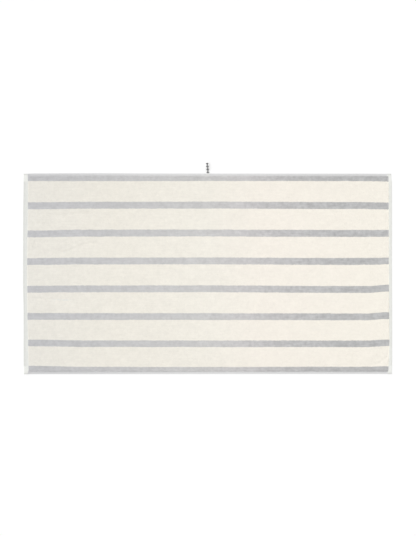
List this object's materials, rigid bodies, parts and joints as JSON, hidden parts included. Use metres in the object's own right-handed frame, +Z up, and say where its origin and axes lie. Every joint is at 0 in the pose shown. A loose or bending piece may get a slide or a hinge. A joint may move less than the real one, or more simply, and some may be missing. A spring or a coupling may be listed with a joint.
{
  "type": "bath towel",
  "caption": "Rectangular striped terry bath towel lying flat, with hemmed short ends, flat woven long edges and a tape loop to hang it by.",
  "frame": {"origin": "middle of the cloth on its underside, where it lies on the surface", "axes": "+X along the towel, parallel to its stripes; +Y across it, towards the edge with the hanging loop; +Z up, out of the face"},
  "size_m": [1.2938, 0.7421, 0.0086],
  "materials": {
    "cream_terry": "matte",
    "grey_terry": "matte",
    "loop_tape": "matte"
  },
  "bodies": {
    "root": {"terry_cloth": "cream_terry", "hanging_loop": "loop_tape"}
  },
  "joints": []
}
